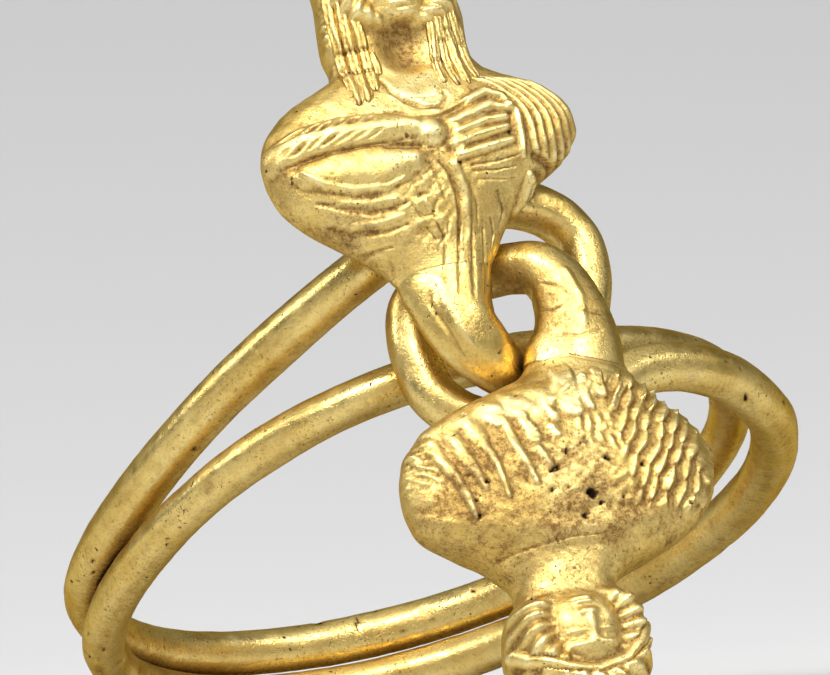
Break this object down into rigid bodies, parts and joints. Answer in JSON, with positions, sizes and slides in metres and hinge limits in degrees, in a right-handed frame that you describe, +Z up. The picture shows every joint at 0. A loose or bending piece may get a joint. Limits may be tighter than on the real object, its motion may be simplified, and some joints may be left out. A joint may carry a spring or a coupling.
{
  "type": "coiled rod finger ring with two bust terminals",
  "caption": "Gold finger ring of one rod coiled twice, its ends interlocked and finished with small cast busts, foot to foot.",
  "frame": {"origin": "middle of the ring's bounding box, on the ground it rests on", "axes": "+Z up from the ground, +Y from the busts towards the back of the hoop, +X across the busts to the right of a viewer who faces them"},
  "size_m": [0.0212, 0.0288, 0.0237],
  "materials": {
    "coiled_rod": "satin yellow gold, finely pitted",
    "upper_bust": "satin yellow gold, cast relief with darker hollows",
    "lower_bust": "satin yellow gold, cast relief with darker hollows"
  },
  "bodies": {
    "root": {"coiled_rod": "coiled_rod", "upper_bust": "upper_bust", "lower_bust": "lower_bust"}
  },
  "joints": []
}
